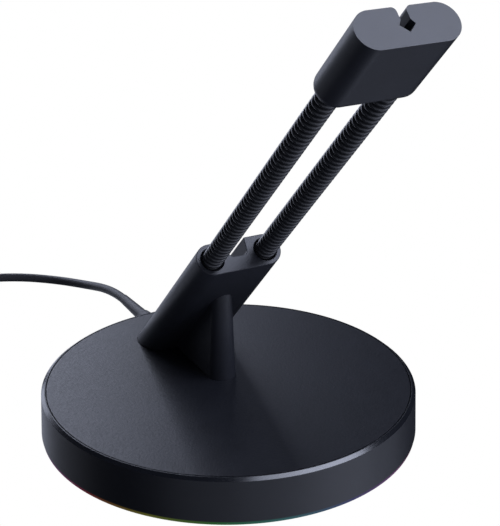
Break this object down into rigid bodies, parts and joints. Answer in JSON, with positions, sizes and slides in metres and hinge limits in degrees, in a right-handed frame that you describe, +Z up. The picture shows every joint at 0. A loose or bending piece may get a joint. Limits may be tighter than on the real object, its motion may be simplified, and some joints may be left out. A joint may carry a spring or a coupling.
{
  "type": "mouse bungee",
  "caption": "Round weighted desk stand with a leaning twin-spring arm whose end clip holds a mouse cable off the desk, with an underlit rim and a USB lead.",
  "frame": {"origin": "on the desk, under the middle of the round base", "axes": "+Z up from the desk; the arm leans towards -Y, the mouse side; +X across the arm"},
  "size_m": [0.1453, 0.2289, 0.1433],
  "materials": {
    "housing_plastic": "fine spark texture, near black",
    "panel_soft_touch": "soft-touch coating, fine grain",
    "arm_plastic": "satin moulded plastic, near black",
    "clip_plastic": "satin moulded plastic, near black",
    "spring_black": "black-coated spring wire",
    "light_diffuser": "translucent light guide",
    "foot_rubber": "anti-slip rubber",
    "ballast_steel": "plated steel",
    "screw_steel": "zinc plated",
    "board_laminate": "green solder mask",
    "lamp_white": "lamp package",
    "chip_black": "moulded chip package",
    "header_ivory": "wire header",
    "cable_jacket": "matt cable jacket",
    "tie_strap": "hook-and-loop strap",
    "plug_plastic": "moulded plug body",
    "plug_shell_steel": "nickel plated",
    "plug_tongue_plastic": "contact carrier",
    "contact_gold": "gold flashed"
  },
  "bodies": {
    "base": {"base_housing": "housing_plastic", "top_panel": "panel_soft_touch", "arm_holder": "arm_plastic", "ballast_plate": "ballast_steel", "base_plate": "housing_plastic", "rubber_foot": "foot_rubber", "base_screws": "screw_steel", "arm_screws": "screw_steel", "light_ring": "light_diffuser", "light_board": "board_laminate", "leds": "lamp_white", "control_chip": "chip_black", "board_header": "header_ivory", "strain_relief": "cable_jacket", "inner_lead": "cable_jacket", "usb_cable": "cable_jacket", "usb_cable_coil": "cable_jacket", "usb_cable_tail": "cable_jacket", "cable_tie": "tie_strap", "usb_plug_body": "plug_plastic", "usb_plug_shell": "plug_shell_steel", "usb_plug_tongue": "plug_tongue_plastic", "usb_plug_contacts": "contact_gold"},
    "springs": {"left_spring": "spring_black", "right_spring": "spring_black"},
    "clip": {"cable_clip": "clip_plastic"}
  },
  "joints": [
    {"name": "arm_bend", "type": "hinge", "parent": "base", "child": "springs", "pos_m": [0, -0.02303, 0.07411], "axis": [1, 0, 0], "range_deg": [-15, 15], "stiffness_Nm_per_rad": 0.4, "springref_deg": -1.03, "deforming": ["left_spring", "right_spring"]},
    {"name": "arm_sway", "type": "slide", "parent": "springs", "child": "clip", "axis": [1, 0, 0], "range_m": [-0.007, 0.007], "stiffness_N_per_m": 260, "deforming": ["left_spring", "right_spring"]}
  ]
}
